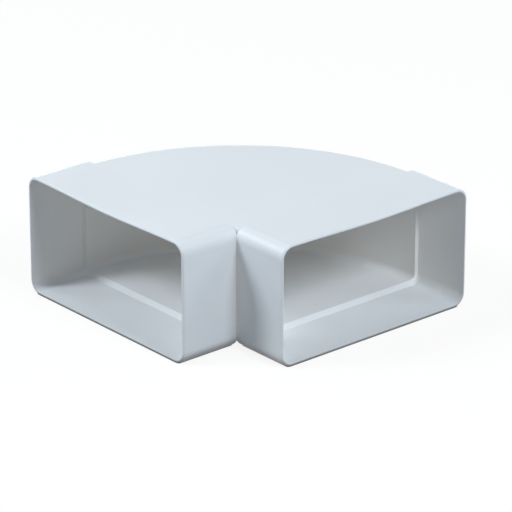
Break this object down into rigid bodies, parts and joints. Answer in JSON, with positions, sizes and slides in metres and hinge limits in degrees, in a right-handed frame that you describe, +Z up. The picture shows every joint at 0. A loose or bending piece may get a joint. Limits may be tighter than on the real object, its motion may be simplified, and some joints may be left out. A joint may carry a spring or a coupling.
{
  "type": "flat duct bend",
  "caption": "Moulded plastic elbow that turns a flat rectangular air duct through a right angle in the plane of its wide faces, with push-in sockets and a quarter-round body.",
  "frame": {"origin": "middle of the bounding box, on the floor that the sockets' undersides rest on", "axes": "+X out of one socket's mouth, -Y out of the other socket's mouth, +Z up through the wide faces"},
  "size_m": [0.1466, 0.1466, 0.06],
  "materials": {
    "white_plastic": "satin moulded white"
  },
  "bodies": {
    "root": {"duct_bend": "white_plastic"}
  },
  "joints": []
}
